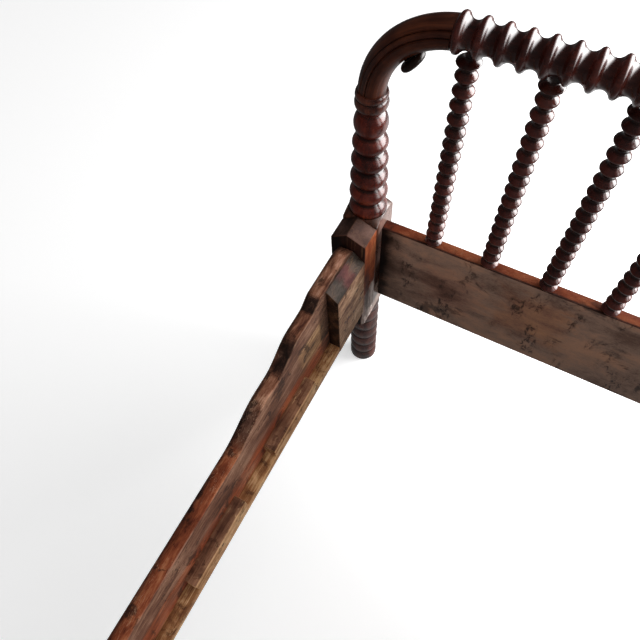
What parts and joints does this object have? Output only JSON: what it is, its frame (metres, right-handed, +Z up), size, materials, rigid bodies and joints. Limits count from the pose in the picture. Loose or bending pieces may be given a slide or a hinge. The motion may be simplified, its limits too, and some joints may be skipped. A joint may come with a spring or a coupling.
{
  "type": "spool bed",
  "caption": "Antique turned wooden bed with bent corners, spool-turned end rails over beaded spindles, scalloped side rails and notched ledgers for loose slats.",
  "frame": {"origin": "centre of the bed on the floor, midway between the four posts", "axes": "+Z up, +Y along the bed towards the head end, +X towards the right side rail seen from the foot end"},
  "size_m": [1.295, 1.907, 0.928],
  "materials": {
    "turned_wood": "dark reddish shellac, glossy, worn dull in places",
    "bent_wood": "brown shellac, satin",
    "flat_wood": "brown stained wood, satin, scratched, edges worn",
    "raw_wood": "bare old softwood, matt, patchy stain",
    "iron": "dark rusted iron, matt"
  },
  "bodies": {
    "root": {"post_head_left": "turned_wood", "post_head_right": "turned_wood", "post_foot_left": "turned_wood", "post_foot_right": "turned_wood", "bend_head_left": "bent_wood", "bend_head_right": "bent_wood", "bend_foot_left": "bent_wood", "bend_foot_right": "bent_wood", "button_head_left": "bent_wood", "button_head_right": "bent_wood", "button_foot_left": "bent_wood", "button_foot_right": "bent_wood", "spool_rail_head": "turned_wood", "spool_rail_foot": "turned_wood", "board_head": "flat_wood", "board_foot": "flat_wood", "spindle_head_1": "turned_wood", "spindle_head_2": "turned_wood", "spindle_head_3": "turned_wood", "spindle_head_4": "turned_wood", "spindle_head_5": "turned_wood", "spindle_head_6": "turned_wood", "spindle_head_7": "turned_wood", "spindle_head_8": "turned_wood", "spindle_head_9": "turned_wood", "spindle_head_10": "turned_wood", "spindle_head_11": "turned_wood", "spindle_foot_1": "turned_wood", "spindle_foot_2": "turned_wood", "spindle_foot_3": "turned_wood", "spindle_foot_4": "turned_wood", "spindle_foot_5": "turned_wood", "spindle_foot_6": "turned_wood", "spindle_foot_7": "turned_wood", "spindle_foot_8": "turned_wood", "spindle_foot_9": "turned_wood", "spindle_foot_10": "turned_wood", "spindle_foot_11": "turned_wood", "joint_block_head_left": "flat_wood", "joint_block_head_right": "flat_wood", "joint_block_foot_left": "flat_wood", "joint_block_foot_right": "flat_wood", "side_rail_left": "flat_wood", "side_rail_right": "flat_wood", "end_pad_head_left": "raw_wood", "end_pad_head_right": "raw_wood", "end_pad_foot_left": "raw_wood", "end_pad_foot_right": "raw_wood", "ledger_left": "raw_wood", "ledger_right": "raw_wood", "hook_plates": "iron", "hook_rivets": "iron", "hook_pins": "iron", "block_screws": "iron", "pad_nails": "iron", "ledger_nails": "iron"}
  },
  "joints": []
}
